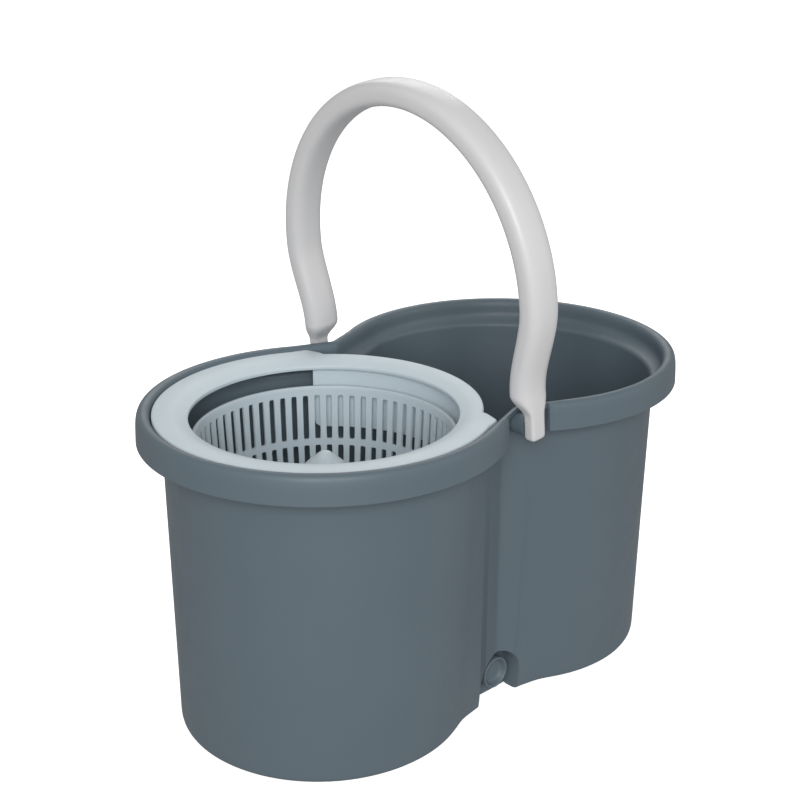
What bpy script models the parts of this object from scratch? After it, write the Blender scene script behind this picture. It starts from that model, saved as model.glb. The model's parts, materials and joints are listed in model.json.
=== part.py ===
"""Spin mop bucket: a two-lobe bucket, a splash collar, a spinning basket and a swinging bail handle.

Metres, +Z up.  The origin is at the middle of the bucket's underside, +X runs along its length
away from the basket, and the handle's ears and the drain plug face -Y and +Y.
"""

import math

import bmesh
import bpy
from mathutils import Matrix, Vector

# ---- driving dimensions ---------------------------------------------------------------------
RIM_HEIGHT = 0.2526           # top of the rolled rim above the floor
LOBE_X = 0.0973               # centre of each lobe at the rim, measured from the middle
LOBE_X_BASE = 0.1030          # the same at the floor: the end walls stand nearly upright
WALL = 0.0025                 # moulded wall thickness
GAP = 0.0003                  # clearance between touching pieces

WALL_TOP_RADIUS = 0.1205      # inner wall radius just under the rim ledge
WALL_TOP_X = 0.0935
WALL_TOP_WAIST = 0.0872
WALL_TOP_Z = 0.2330
WALL_BASE_RADIUS = 0.1098     # inner wall radius at the floor
WALL_BASE_WAIST = 0.0863
TOP_ARC = 103.5               # degrees of each lobe's arc before the waist flattens, under the rim
BASE_ARC = 121.0              # the same at the floor, where the flat of the waist is short
RIM_ARC = 123.0               # the same for the outer side of the rolled rim
FOOT_LIFT = 0.0030            # the floor's middle stands this far above the foot ring

ARC_STEPS = 15                # facets in a quarter of the plan: arc, then waist
WAIST_STEPS = 2

NOTCH_HALF_WIDTH = 0.0220     # gap in the rolled rim where each ear hangs
NOTCH_DEPTH_Y = 0.1042
WAIST_SLOPE = 0.39            # rise of the waist's V at the rim, per unit of length

PIVOT_Z = 0.2405              # the handle's pivot axis
BOSS_RADIUS = 0.0080
BOSS_ROOT_Y = 0.0993
BOSS_FACE_Y = 0.1155
STUD_RADIUS = 0.0046
STUD_HOLE_RADIUS = STUD_RADIUS + GAP
STUD_END_Y = 0.1065

RECESS_HALF_WIDTH = 0.0220    # arched drain recess at the waist
RECESS_TOP_Z = 0.0415
RECESS_BACK_Y = -0.0770
HOUSING_FOOT_Z = 0.0010       # underside of the recess housing, inside the foot ring
HOUSING_FOOT_INSET = 0.0012
DRAIN_Z = 0.0230
DRAIN_HOLE_RADIUS = 0.0090

FLOOR_TOP_Z = WALL + FOOT_LIFT
PAD_RADIUS = 0.0380           # raised floor pad under the column
PAD_TOP_Z = 0.0140

COLUMN_FLANGE_RADIUS = 0.0340
COLUMN_FLANGE = 0.0040
COLUMN_FOOT_RADIUS = 0.0210
COLUMN_TOP_RADIUS = 0.0130
COLUMN_TOP_Z = 0.1330
COLUMN_WALL = 0.0030
SCREW_CIRCLE = 0.0285
SCREW_RADIUS = 0.0019
SCREW_HEAD_RADIUS = 0.0038
SCREW_HEAD = 0.0022
SCREW_DEPTH = 0.0080

PIN_RADIUS = 0.0040
PIN_BOTTOM_Z = 0.0950
PIN_TOP_Z = 0.1900
CLIP_Z = 0.1830               # groove for the retaining clip
CLIP_THICKNESS = 0.0012

BASKET_SEGMENTS = 64          # one slot in each facet of the basket
BASKET_RIM_RADIUS = 0.0987
BASKET_RIM_Z = 0.2300
BASKET_FLOOR_Z = 0.1440
BASKET_WALL = 0.0020
SLOT_WIDTH = 0.0045
UPPER_SLOTS = (0.1855, 0.2225)
LOWER_SLOTS = (0.1560, 0.1805)
FLOOR_SLOTS = 16
FLOOR_SLOT_WIDTH = 0.0040
HUB_TUBE_RADIUS = 0.0092
HUB_TUBE_TOP_Z = 0.1800
BUSH_RADIUS = 0.0068
BUSH_LENGTH = 0.0100
BUSH_BORE = PIN_RADIUS + 0.0002

CONE_APEX_Z = 0.2136
CONE_FOOT_RADIUS = 0.0330

COLLAR_LOBE_RADIUS = 0.1264   # collar edge inside the rolled rim
COLLAR_SPAN_RADIUS = 0.1174   # collar edge where it bridges the waist
COLLAR_STEP_RADIUS = 0.1215
COLLAR_TAB_RADIUS = 0.1290
COLLAR_INNER_RADIUS = 0.0998
COLLAR_OUTER_Z = 0.2504
COLLAR_INNER_Z = 0.2455
COLLAR_CROWN_Z = 0.2491       # half-way between the two: the funnel bulges slightly
COLLAR_LIP_Z = 0.2383         # lower edge of the downturned lip
COLLAR_THICKNESS = 0.0022
SKIRT_RADIUS = 0.1045
SKIRT_HALF_ANGLE = 54.8
SKIRT_BOTTOM_Z = 0.1915
SKIRT_TOP_Z = 0.2464
SKIRT_CORNER = 0.0080

HANDLE_LEAN = 5.0             # degrees towards the basket, as the hand holds it
HANDLE_WIDTH = 0.0290
HANDLE_THICKNESS = 0.0195
HANDLE_LEG_Y = 0.1150         # leg centreline at the ears
HANDLE_BOW_Y = 0.1280         # half width of the bow's ellipse
HANDLE_FOOT_Z = 0.2350        # height from which the bow's curve is measured
HANDLE_STRAIGHT = 0.0340
HANDLE_SHOULDER = 0.1000
HANDLE_RISE = 0.1360
EAR_WIDTH = 0.0140
EAR_INNER_Y = 0.1160
EAR_OUTER_Y = 0.1255
EAR_TIP_Z = 0.2325
EAR_TOP_Z = 0.2500
LEG_START_Z = 0.2660

PLUG_RADIUS = 0.0130
PLUG_FACE_Y = -0.0890
PLUG_SEAT_Y = -0.0786
PLUG_STEM_RADIUS = DRAIN_HOLE_RADIUS - 0.0005
PLUG_STEM_END_Y = -0.0690
PLUG_DISH = 0.0055
SEAL_RADIUS = 0.0120

BASKET_AXIS = Vector((-LOBE_X, 0.0, 0.0))
UP = Vector((0.0, 0.0, 1.0))


# ---- scene helpers --------------------------------------------------------------------------
def clear_scene():
    """Remove every object, so the model starts from nothing."""
    for item in list(bpy.data.objects):
        bpy.data.objects.remove(item, do_unlink=True)


def new_collection(name):
    """Add a collection to the scene."""
    collection = bpy.data.collections.new(name)
    bpy.context.scene.collection.children.link(collection)
    return collection


def plain_material(name, colour, roughness, metallic=0.0):
    """A Principled BSDF with one colour."""
    material = bpy.data.materials.new(name)
    material.use_nodes = True
    shader = material.node_tree.nodes["Principled BSDF"]
    shader.inputs["Base Color"].default_value = (*colour, 1.0)
    shader.inputs["Roughness"].default_value = roughness
    shader.inputs["Metallic"].default_value = metallic
    material.diffuse_color = (*colour, 1.0)
    return material


def add_object(name, mesh, collection, material=None):
    """Link a mesh object into a collection."""
    item = bpy.data.objects.new(name, mesh)
    collection.objects.link(item)
    if material is not None:
        mesh.materials.append(material)
    return item


def add_cutter(name, mesh):
    """Link a helper shape that cuts or joins another and is not a part itself."""
    item = add_object(name, mesh, CUTTERS)
    item.hide_render = True
    item.display_type = 'WIRE'
    return item


def combine(target, cutter, operation):
    """Add an exact Boolean modifier."""
    modifier = target.modifiers.new(operation.title(), 'BOOLEAN')
    modifier.operation = operation
    modifier.solver = 'EXACT'
    modifier.object = cutter


def smooth(mesh):
    """Shade round faces smooth and keep real edges sharp."""
    mesh.shade_smooth()
    mesh.set_sharp_from_angle(angle=math.radians(35.0))


def box_mesh(name, low, high):
    """A closed box between two corners."""
    shape = bmesh.new()
    bmesh.ops.create_cube(shape, size=1.0)
    low, high = Vector(low), Vector(high)
    size = high - low
    bmesh.ops.scale(shape, vec=size, verts=shape.verts)
    bmesh.ops.translate(shape, vec=(low + high) / 2.0, verts=shape.verts)
    return finish_mesh(shape, name)


def cylinder_mesh(name, radius, start, end, segments=24):
    """A closed cylinder between two points."""
    start, end = Vector(start), Vector(end)
    along = end - start
    turn = along.to_track_quat('Z', 'Y').to_matrix().to_4x4()
    shape = bmesh.new()
    bmesh.ops.create_cone(shape, cap_ends=True, segments=segments, radius1=radius, radius2=radius,
                          depth=along.length, matrix=Matrix.Translation((start + end) / 2.0) @ turn)
    return finish_mesh(shape, name)


def finish_mesh(shape, name):
    """Turn a bmesh into a mesh and free it."""
    mesh = bpy.data.meshes.new(name)
    shape.to_mesh(mesh)
    shape.free()
    return mesh


def joined_mesh(name, meshes):
    """One mesh that holds several separate closed shapes."""
    shape = bmesh.new()
    for mesh in meshes:
        shape.from_mesh(mesh)
        bpy.data.meshes.remove(mesh)
    return finish_mesh(shape, name)


def turned(name, profile, steps, material, location=(0.0, 0.0, 0.0)):
    """A turned piece: (radius, height) points down its outer side, swept by a Screw modifier."""
    closed = profile[0][0] > 0.0 or profile[-1][0] > 0.0
    mesh = bpy.data.meshes.new(name)
    points = [(radius, 0.0, height) for radius, height in profile]
    edges = [(i, i + 1) for i in range(len(points) - 1)]
    if closed:
        edges.append((len(points) - 1, 0))
    mesh.from_pydata(points, edges, [])
    item = add_object(name, mesh, PARTS, material)
    item.location = location
    screw = item.modifiers.new("Turn", 'SCREW')
    screw.angle = math.tau
    screw.steps = steps
    screw.render_steps = steps
    screw.use_merge_vertices = True
    screw.merge_threshold = 0.00001
    screw.use_smooth_shade = True
    return item


def loft_mesh(name, rings, cap_ends):
    """Join rings of equal length into a skin, for sections that differ from one to the next."""
    shape = bmesh.new()
    loops = [[shape.verts.new(point) for point in ring] for ring in rings]
    count = len(loops[0])
    for lower, upper in zip(loops, loops[1:]):
        for i in range(count):
            j = (i + 1) % count
            shape.faces.new((lower[i], lower[j], upper[j], upper[i]))
    if cap_ends[0]:
        shape.faces.new(list(reversed(loops[0])))
    if cap_ends[1]:
        shape.faces.new(loops[-1])
    return finish_mesh(shape, name)


def face_outwards(mesh):
    """Merge doubled points and turn every face of a closed mesh outwards."""
    shape = bmesh.new()
    shape.from_mesh(mesh)
    bmesh.ops.remove_doubles(shape, verts=shape.verts, dist=0.00001)
    bmesh.ops.recalc_face_normals(shape, faces=shape.faces)
    shape.to_mesh(mesh)
    shape.free()


def mix(low, high, share):
    """Value between low and high."""
    return low + (high - low) * share


def arc_points(centre, radius, start, end, steps):
    """Points on an arc, angles in degrees."""
    angles = [math.radians(mix(start, end, i / steps)) for i in range(steps + 1)]
    return [(centre[0] + radius * math.cos(a), centre[1] + radius * math.sin(a)) for a in angles]


# ---- bucket ---------------------------------------------------------------------------------
def plan_outline(radius, lobe_x, waist, arc_end):
    """Figure-8 plan, anticlockwise: two lobe arcs joined by straight stretches to the waist."""
    arc = arc_points((lobe_x, 0.0), radius, 0.0, arc_end, ARC_STEPS)
    end_x, end_y = arc[-1]
    quarter = list(arc)
    for i in range(1, WAIST_STEPS + 1):
        share = i / WAIST_STEPS
        quarter.append((mix(end_x, 0.0, share), mix(end_y, waist, share)))
    left = [(-x, y) for x, y in reversed(quarter[:-1])]
    upper = quarter + left
    lower = [(x, -y) for x, y in reversed(upper[1:-1])]
    return upper + lower


def wall_plan(height):
    """Plan sizes of the inner wall at a height: lobe radius, lobe centre, waist and arc end."""
    base = (WALL_BASE_RADIUS, LOBE_X_BASE, WALL_BASE_WAIST, BASE_ARC)
    top = (WALL_TOP_RADIUS, WALL_TOP_X, WALL_TOP_WAIST, TOP_ARC)
    return [mix(low, high, height / WALL_TOP_Z) for low, high in zip(base, top)]


def waist_middle(x, height):
    """Half width, at x near the waist, of the surface half-way through the wall."""
    radius, lobe_x, waist, arc_end = wall_plan(height)
    end_x = lobe_x + radius * math.cos(math.radians(arc_end))
    end_y = radius * math.sin(math.radians(arc_end))
    return mix(waist, end_y, abs(x) / end_x) + WALL / 2.0


def bucket_skin_rings():
    """Rings of the bucket's inner and upper skin, from the floor to the edge of the rim's lip."""

    def wall_ring(height):
        return (height, *wall_plan(height))

    def floor_ring(height, inset):
        radius, lobe_x, waist, arc_end = wall_plan(0.0)
        return (height, radius - inset, lobe_x, waist - inset, arc_end)

    # height, lobe radius, lobe centre, waist half width, end of the lobe's arc
    sections = [
        floor_ring(FLOOR_TOP_Z, 0.0160),
        floor_ring(WALL, 0.0120),
        floor_ring(WALL, 0.0045),
        floor_ring(WALL + 0.0012, 0.0012),
        wall_ring(0.0075),
        wall_ring(WALL_TOP_Z),
        (0.2346, 0.1232, 0.0955, 0.0925, 106.0),
        (0.2385, 0.1270, LOBE_X, 0.0980, 107.0),
        (0.2490, 0.1275, LOBE_X, 0.0986, 108.0),
        (0.2517, 0.1297, LOBE_X, 0.1004, 112.0),
        (RIM_HEIGHT, 0.1330, LOBE_X, 0.1032, 118.0),
        (0.2508, 0.1360, LOBE_X, 0.1062, 121.0),
        (0.2460, 0.1377, LOBE_X, 0.1080, RIM_ARC),
        (0.2310, 0.1385, LOBE_X, 0.1090, RIM_ARC),
    ]
    return [[(x, y, height) for x, y in plan_outline(radius, lobe_x, waist, arc_end)]
            for height, radius, lobe_x, waist, arc_end in sections]


def arch_outline(half_width, top_z, bottom_z):
    """Round-topped outline as (x, z) points."""
    outline = arc_points((0.0, top_z - half_width), half_width, 0.0, 180.0, 14)
    return outline + [(-half_width, bottom_z), (0.0, bottom_z), (half_width, bottom_z)]


def recess_housing():
    """Walls round the drain recess: a round-topped block whose front lies inside the bucket's wall."""
    half_width, top_z = RECESS_HALF_WIDTH + WALL, RECESS_TOP_Z + WALL
    outline = arch_outline(half_width, top_z, HOUSING_FOOT_Z)
    front = []
    for x, z in outline:
        inset = HOUSING_FOOT_INSET if z == HOUSING_FOOT_Z else 0.0
        front.append((x, inset - waist_middle(x, z), z))
    middle_z = top_z - half_width
    centre = [(0.0, -waist_middle(0.0, middle_z), middle_z)] * len(outline)
    back = [(x, RECESS_BACK_Y + WALL, z) for x, z in outline]
    mesh = loft_mesh("recess_housing", [centre, front, back], (False, True))
    face_outwards(mesh)
    return mesh


def recess_cutter():
    """Round-topped block that opens the drain recess from outside to its back wall."""
    outline = arch_outline(RECESS_HALF_WIDTH, RECESS_TOP_Z, -0.01)
    rings = [[(x, y, z) for x, z in outline] for y in (-0.12, RECESS_BACK_Y)]
    mesh = loft_mesh("recess", rings, (True, True))
    face_outwards(mesh)
    return mesh


def rim_notches():
    """Blocks that take the rolled rim away at both waists, so the ears can hang outside the wall.

    Each block's inner face follows the V of the waist.
    """
    corner_y = NOTCH_DEPTH_Y + WAIST_SLOPE * NOTCH_HALF_WIDTH
    outline = [(0.0, NOTCH_DEPTH_Y), (NOTCH_HALF_WIDTH, corner_y), (NOTCH_HALF_WIDTH, 0.16),
               (-NOTCH_HALF_WIDTH, 0.16), (-NOTCH_HALF_WIDTH, corner_y)]
    notches = []
    for side in (-1, 1):
        rings = [[(x, side * y, z) for x, y in outline] for z in (0.2250, RIM_HEIGHT + 0.01)]
        notch = loft_mesh("notch", rings, (True, True))
        face_outwards(notch)
        notches.append(notch)
    return notches


def pivot_boss(side):
    """Round boss on one waist whose root face follows the V of the wall, inside its thickness."""
    shape = bmesh.new()
    bmesh.ops.create_cone(shape, cap_ends=True, cap_tris=True, segments=24, radius1=BOSS_RADIUS,
                          radius2=BOSS_RADIUS, depth=BOSS_FACE_Y - BOSS_ROOT_Y,
                          matrix=Matrix.Rotation(math.radians(-90.0 * side), 4, 'X'))
    middle = side * (BOSS_FACE_Y + BOSS_ROOT_Y) / 2.0
    for vertex in shape.verts:
        if side * vertex.co.y < 0.0:
            vertex.co.y += side * WAIST_SLOPE * abs(vertex.co.x)
        vertex.co += Vector((0.0, middle, PIVOT_Z))
    return finish_mesh(shape, "boss")


def bucket_seats():
    """Solid seats joined to the skin inside: the recess housing and the column's pad."""
    pad = cylinder_mesh("floor_pad", PAD_RADIUS, BASKET_AXIS + UP * (FLOOR_TOP_Z - 0.001),
                        BASKET_AXIS + UP * PAD_TOP_Z, segments=32)
    return [recess_housing(), pad]


def bucket_bores():
    """Holes made after the recess: the drain, two blind stud holes and four screw holes."""
    drain = cylinder_mesh("drain_hole", DRAIN_HOLE_RADIUS, (0.0, RECESS_BACK_Y - 0.01, DRAIN_Z),
                          (0.0, RECESS_BACK_Y + 0.02, DRAIN_Z))
    studs = [cylinder_mesh("stud_hole", STUD_HOLE_RADIUS, (0.0, side * (STUD_END_Y - GAP), PIVOT_Z),
                           (0.0, side * (BOSS_FACE_Y + 0.01), PIVOT_Z), segments=16) for side in (-1, 1)]
    screws = [cylinder_mesh("hole", SCREW_RADIUS + GAP, place + UP * (PAD_TOP_Z - SCREW_DEPTH),
                            place + UP * (PAD_TOP_Z + 0.01), segments=10) for place in screw_places()]
    return [drain] + studs + screws


def screw_places():
    """The four screw axes on the column's flange."""
    angles = [math.radians(45.0 + 90.0 * i) for i in range(4)]
    return [BASKET_AXIS + Vector((math.cos(a), math.sin(a), 0.0)) * SCREW_CIRCLE for a in angles]


def build_bucket_shell(material):
    """The bucket: a lofted skin thickened outwards, with its seats, recess and floor pad."""
    mesh = loft_mesh("bucket_shell", bucket_skin_rings(), (True, False))
    bucket = add_object("bucket_shell", mesh, PARTS, material)
    shape = bmesh.new()
    shape.from_mesh(mesh)
    bmesh.ops.reverse_faces(shape, faces=shape.faces)
    shape.to_mesh(mesh)
    shape.free()
    smooth(mesh)
    solidify = bucket.modifiers.new("Wall", 'SOLIDIFY')
    solidify.thickness = WALL
    solidify.offset = -1.0
    solidify.use_even_offset = True
    steps = [("rim_notches", rim_notches(), 'DIFFERENCE'),
             ("near_boss", [pivot_boss(-1)], 'UNION'), ("far_boss", [pivot_boss(1)], 'UNION'),
             ("bucket_seats", bucket_seats(), 'UNION'), ("recess", [recess_cutter()], 'DIFFERENCE'),
             ("bucket_bores", bucket_bores(), 'DIFFERENCE')]
    for name, shapes, operation in steps:
        combine(bucket, add_cutter(name, joined_mesh(name, shapes)), operation)
    return bucket


# ---- collar ---------------------------------------------------------------------------------
def collar_edge(angle):
    """Outer radius of the collar at an angle from +X about the basket's axis, in degrees."""
    size = abs(angle)
    steps = [(0.0, COLLAR_SPAN_RADIUS), (50.0, COLLAR_SPAN_RADIUS), (51.6, COLLAR_STEP_RADIUS),
             (56.2, COLLAR_TAB_RADIUS), (62.0, COLLAR_LOBE_RADIUS), (180.0, COLLAR_LOBE_RADIUS)]
    for (low, low_radius), (high, high_radius) in zip(steps, steps[1:]):
        if size <= high:
            return mix(low_radius, high_radius, (size - low) / (high - low))
    return COLLAR_LOBE_RADIUS


def collar_angles():
    """Angles of the collar's section planes, with one at each corner of its outline."""
    half = [0.0, 12.5, 25.0, 37.5, 50.0, 51.6, 56.2, 62.0]
    half += [62.0 + 118.0 * i / 17 for i in range(1, 18)]
    return half + [-angle for angle in reversed(half[1:-1])]


def build_splash_collar(material):
    """A shallow funnel ring with a downturned edge, and a curved skirt on the open side."""
    rings = []
    for angle in collar_angles():
        edge = collar_edge(angle)
        direction = Vector((math.cos(math.radians(angle)), math.sin(math.radians(angle)), 0.0))
        middle = (COLLAR_INNER_RADIUS + edge) / 2.0
        section = [(edge, COLLAR_OUTER_Z - 0.0008), (edge - 0.0010, COLLAR_OUTER_Z),
                   (middle, COLLAR_CROWN_Z), (COLLAR_INNER_RADIUS + 0.0010, COLLAR_INNER_Z + 0.0004),
                   (COLLAR_INNER_RADIUS, COLLAR_INNER_Z - 0.0008),
                   (COLLAR_INNER_RADIUS + 0.0004, COLLAR_INNER_Z - COLLAR_THICKNESS),
                   (middle, COLLAR_CROWN_Z - COLLAR_THICKNESS),
                   (edge - COLLAR_THICKNESS, COLLAR_OUTER_Z - COLLAR_THICKNESS),
                   (edge - COLLAR_THICKNESS, COLLAR_LIP_Z), (edge, COLLAR_LIP_Z)]
        rings.append([direction * radius + Vector((0.0, 0.0, height)) for radius, height in section])
    rings.append(rings[0])
    mesh = loft_mesh("splash_collar", rings, (False, False))
    face_outwards(mesh)
    smooth(mesh)
    collar = add_object("splash_collar", mesh, PARTS, material)
    collar.location = BASKET_AXIS

    skirt_rings = []
    for i in range(17):
        angle = mix(-SKIRT_HALF_ANGLE, SKIRT_HALF_ANGLE, i / 16)
        direction = Vector((math.cos(math.radians(angle)), math.sin(math.radians(angle)), 0.0))
        bottom = SKIRT_BOTTOM_Z + (SKIRT_CORNER if i in (0, 16) else 0.0)
        section = [(SKIRT_RADIUS, bottom), (SKIRT_RADIUS + COLLAR_THICKNESS, bottom),
                   (SKIRT_RADIUS + COLLAR_THICKNESS, SKIRT_TOP_Z), (SKIRT_RADIUS, SKIRT_TOP_Z)]
        skirt_rings.append([direction * radius + Vector((0.0, 0.0, height)) for radius, height in section])
    skirt_mesh = loft_mesh("skirt", skirt_rings, (True, True))
    face_outwards(skirt_mesh)
    skirt = add_cutter("skirt", skirt_mesh)
    skirt.location = BASKET_AXIS
    combine(collar, skirt, 'UNION')
    return collar


# ---- column and spindle ---------------------------------------------------------------------
def build_spindle_column(material):
    """Tapered hollow column on a round flange, with a bore for the pin at its top."""
    foot = PAD_TOP_Z + GAP
    flange_top = foot + COLUMN_FLANGE
    bore = PIN_RADIUS + GAP
    profile = [(bore, COLUMN_TOP_Z), (COLUMN_TOP_RADIUS, COLUMN_TOP_Z),
               (COLUMN_FOOT_RADIUS, flange_top + 0.006), (COLUMN_FOOT_RADIUS + 0.003, flange_top),
               (COLUMN_FLANGE_RADIUS, flange_top), (COLUMN_FLANGE_RADIUS, foot),
               (COLUMN_FOOT_RADIUS - COLUMN_WALL, foot),
               (COLUMN_TOP_RADIUS - COLUMN_WALL + 0.0015, PIN_BOTTOM_Z - 0.008),
               (bore, PIN_BOTTOM_Z - 0.008)]
    column = turned("spindle_column", profile, 32, material, BASKET_AXIS)
    holes = [cylinder_mesh("hole", SCREW_RADIUS + GAP, place + UP * (foot - 0.01),
                           place + UP * (flange_top + 0.01), segments=10) for place in screw_places()]
    cutter = add_cutter("column_screw_holes", joined_mesh("column_screw_holes", holes))
    combine(column, cutter, 'DIFFERENCE')
    return column


def build_column_screws(material):
    """Four pan-head screws through the flange."""
    seat = PAD_TOP_Z + GAP + COLUMN_FLANGE + GAP
    tip = PAD_TOP_Z - SCREW_DEPTH + 0.0008
    profile = [(0.0, seat + SCREW_HEAD), (SCREW_HEAD_RADIUS * 0.7, seat + SCREW_HEAD),
               (SCREW_HEAD_RADIUS, seat + SCREW_HEAD * 0.4), (SCREW_HEAD_RADIUS, seat),
               (SCREW_RADIUS, seat), (SCREW_RADIUS, tip + 0.001), (0.0, tip)]
    return [turned(f"column_screw_{i + 1}", profile, 12, material, place)
            for i, place in enumerate(screw_places())]


def build_spindle_pin(material):
    """Steel pin with a groove for its clip."""
    groove = 0.0008
    profile = [(0.0, PIN_TOP_Z), (PIN_RADIUS - 0.0006, PIN_TOP_Z), (PIN_RADIUS, PIN_TOP_Z - 0.0008),
               (PIN_RADIUS, CLIP_Z + CLIP_THICKNESS + GAP),
               (PIN_RADIUS - groove, CLIP_Z + CLIP_THICKNESS + GAP),
               (PIN_RADIUS - groove, CLIP_Z - GAP), (PIN_RADIUS, CLIP_Z - GAP),
               (PIN_RADIUS, PIN_BOTTOM_Z), (0.0, PIN_BOTTOM_Z)]
    return turned("spindle_pin", profile, 24, material, BASKET_AXIS)


def ring_profile(inner, outer, low, high):
    """Section of a plain washer or bush."""
    return [(inner, high), (outer, high), (outer, low), (inner, low)]


def build_thrust_washer(material):
    """Washer on top of the column that the basket's hub turns on."""
    low = COLUMN_TOP_Z + GAP
    profile = ring_profile(PIN_RADIUS + GAP, COLUMN_TOP_RADIUS - 0.002, low, low + 0.0015)
    return turned("thrust_washer", profile, 24, material, BASKET_AXIS)


def build_pin_clip(material):
    """Open retaining clip in the pin's groove, above the basket's hub."""
    profile = ring_profile(PIN_RADIUS - 0.0008 + GAP, 0.0066, CLIP_Z, CLIP_Z + CLIP_THICKNESS)
    clip = turned("pin_clip", profile, 24, material, BASKET_AXIS)
    mouth = box_mesh("clip_mouth", (-0.002, 0.0, CLIP_Z - 0.002), (0.002, 0.01, CLIP_Z + 0.004))
    cutter = add_cutter("clip_mouth", mouth)
    cutter.location = BASKET_AXIS
    combine(clip, cutter, 'DIFFERENCE')
    return clip


# ---- basket ---------------------------------------------------------------------------------
def slot_cutters(radius, z_range, width, count, depth):
    """Boxes set around the basket's wall, one in the middle of every facet."""
    low, high = z_range
    boxes = []
    for i in range(count):
        box = box_mesh("slot", (radius - depth, -width / 2.0, low), (radius + depth, width / 2.0, high))
        box.transform(Matrix.Rotation(math.tau * (i + 0.5) / count, 4, 'Z'))
        boxes.append(box)
    return boxes


def build_spin_basket(material):
    """Turned basket with a rolled rim, two rows of slots, a slotted floor and a hub tube."""
    wall = BASKET_WALL
    floor = BASKET_FLOOR_Z
    rim = BASKET_RIM_Z
    profile = [(BASKET_RIM_RADIUS - 0.0008, rim), (BASKET_RIM_RADIUS, rim - 0.0010),
               (BASKET_RIM_RADIUS, rim - 0.0045), (0.0976, rim - 0.0050),
               (0.0938 + wall, 0.1830), (0.0905 + wall, 0.1530), (0.0860, floor),
               (HUB_TUBE_RADIUS + 0.0020, floor), (HUB_TUBE_RADIUS + 0.0020, COLUMN_TOP_Z + 0.0024),
               (BUSH_RADIUS + GAP, COLUMN_TOP_Z + 0.0024), (BUSH_RADIUS + GAP, HUB_TUBE_TOP_Z),
               (HUB_TUBE_RADIUS, HUB_TUBE_TOP_Z), (HUB_TUBE_RADIUS + 0.0010, floor + wall),
               (0.0840, floor + wall), (0.0905, 0.1540), (0.0938, 0.1830), (0.0960, rim - 0.0020)]
    basket = turned("spin_basket", profile, BASKET_SEGMENTS, material, BASKET_AXIS)
    boxes = slot_cutters(0.0965, UPPER_SLOTS, SLOT_WIDTH, BASKET_SEGMENTS, 0.006)
    boxes += slot_cutters(0.0940, LOWER_SLOTS, SLOT_WIDTH, BASKET_SEGMENTS, 0.006)
    boxes += slot_cutters(0.0600, (floor - 0.01, floor + 0.006), FLOOR_SLOT_WIDTH, FLOOR_SLOTS, 0.0180)
    cutter = add_cutter("basket_slots", joined_mesh("basket_slots", boxes))
    cutter.location = BASKET_AXIS
    combine(basket, cutter, 'DIFFERENCE')
    return basket


def build_hub_cone(material):
    """Bell-shaped cap over the hub, hollow inside."""
    foot = BASKET_FLOOR_Z + BASKET_WALL + GAP
    top = CONE_APEX_Z
    outer = [(0.0, top), (0.0040, top - 0.0006), (0.0090, top - 0.0050), (0.0150, top - 0.0100),
             (0.0215, top - 0.0190), (0.0270, top - 0.0330), (CONE_FOOT_RADIUS, foot + 0.004),
             (CONE_FOOT_RADIUS, foot)]
    inner = [(CONE_FOOT_RADIUS - 0.0022, foot), (0.0248, top - 0.0335), (0.0190, top - 0.0200),
             (0.0120, top - 0.0115), (0.0050, top - 0.0065), (0.0, top - 0.0058)]
    return turned("hub_cone", outer + inner, 32, material, BASKET_AXIS)


def build_bushes(material):
    """Two plain bearings pressed into the basket's hub tube."""
    low = COLUMN_TOP_Z + 0.0030
    high = HUB_TUBE_TOP_Z - BUSH_LENGTH
    bushes = []
    for name, start in (("lower_bush", low), ("upper_bush", high)):
        profile = ring_profile(BUSH_BORE + 0.0001, BUSH_RADIUS, start, start + BUSH_LENGTH)
        bushes.append(turned(name, profile, 32, material, BASKET_AXIS))
    return bushes


# ---- handle ---------------------------------------------------------------------------------
def rounded_section(width, thickness, power, count=16):
    """Points of a superellipse: x across the handle, y through its thickness."""
    points = []
    for i in range(count):
        angle = math.tau * (i + 0.5) / count
        cosine, sine = math.cos(angle), math.sin(angle)
        x = math.copysign(abs(cosine) ** (2.0 / power), cosine) * width / 2.0
        y = math.copysign(abs(sine) ** (2.0 / power), sine) * thickness / 2.0
        points.append((x, y))
    return points


def bow_centre(height):
    """Distance of the leg's centreline from the middle, at a height above the ears."""
    if height <= HANDLE_STRAIGHT:
        return HANDLE_LEG_Y
    if height >= HANDLE_SHOULDER:
        rise = (height - HANDLE_SHOULDER) / HANDLE_RISE
        return HANDLE_BOW_Y * math.sqrt(max(0.0, 1.0 - rise * rise))
    share = (height - HANDLE_STRAIGHT) / (HANDLE_SHOULDER - HANDLE_STRAIGHT)
    eased = share * share * (3.0 - 2.0 * share)
    return mix(HANDLE_LEG_Y, HANDLE_BOW_Y, eased)


def bow_path():
    """Centreline points of the near half of the bow, from the ear to the top, as (y, z)."""
    heights = [LEG_START_Z - HANDLE_FOOT_Z, 0.046, 0.060, 0.075, 0.090]
    path = [(-bow_centre(height), HANDLE_FOOT_Z + height) for height in heights]
    crown = arc_points((0.0, 0.0), 1.0, 180.0, 90.0, 12)
    path += [(x * HANDLE_BOW_Y, HANDLE_FOOT_Z + HANDLE_SHOULDER + y * HANDLE_RISE) for x, y in crown]
    return path


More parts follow.
